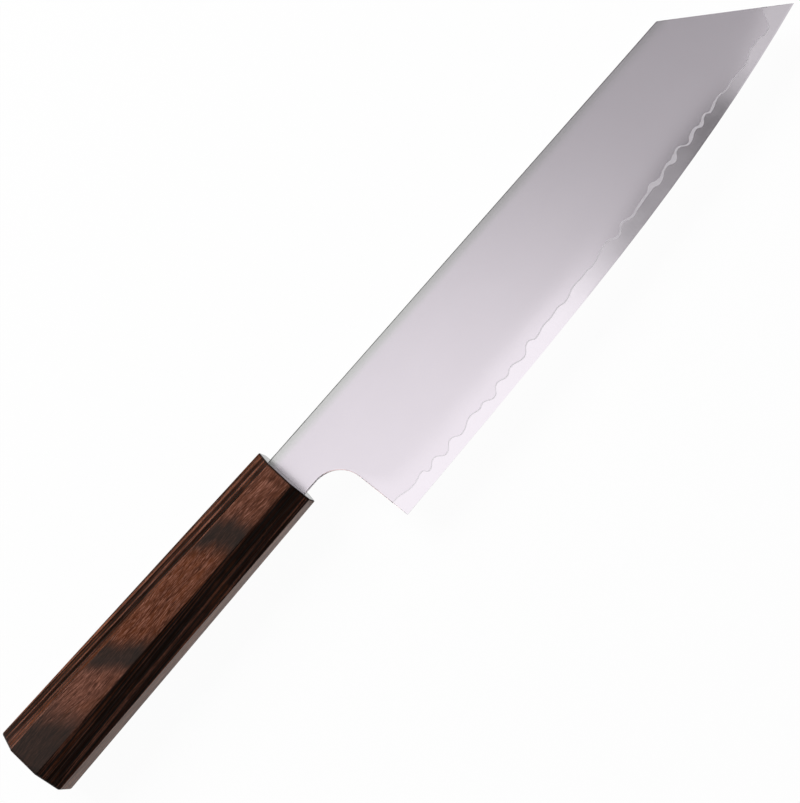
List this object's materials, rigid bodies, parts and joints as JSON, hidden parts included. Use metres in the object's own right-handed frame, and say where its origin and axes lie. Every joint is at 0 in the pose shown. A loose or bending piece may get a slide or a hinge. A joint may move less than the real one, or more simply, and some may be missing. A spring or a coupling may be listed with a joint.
{
  "type": "kiritsuke knife",
  "caption": "Kitchen knife with an angled tip, a laminated blade with a wavy cladding line, and an octagonal laminated wood handle.",
  "frame": {"origin": "middle of the handle's front face, on the handle's axis, where the blade comes out", "axes": "+X along the handle's axis to the point, +Y towards the spine, +Z out of the blade's right side; the knife lies on its left side"},
  "size_m": [0.339, 0.0506, 0.026],
  "materials": {
    "core_steel": "polished",
    "cladding_steel": "satin",
    "epoxy": "set resin",
    "laminated_wood": "dyed, resin-bonded and buffed"
  },
  "bodies": {
    "root": {"blade_core": "core_steel", "right_cladding": "cladding_steel", "left_cladding": "cladding_steel", "tang_epoxy": "epoxy", "veneer_01": "laminated_wood", "veneer_02": "laminated_wood", "veneer_03": "laminated_wood", "veneer_04": "laminated_wood", "veneer_05": "laminated_wood", "veneer_06": "laminated_wood", "veneer_07": "laminated_wood", "veneer_08": "laminated_wood", "veneer_09": "laminated_wood", "veneer_10": "laminated_wood", "veneer_11": "laminated_wood", "veneer_12": "laminated_wood", "veneer_13": "laminated_wood", "veneer_14": "laminated_wood", "veneer_15": "laminated_wood", "veneer_16": "laminated_wood", "veneer_17": "laminated_wood", "veneer_18": "laminated_wood", "veneer_19": "laminated_wood", "veneer_20": "laminated_wood", "veneer_21": "laminated_wood"}
  },
  "joints": []
}
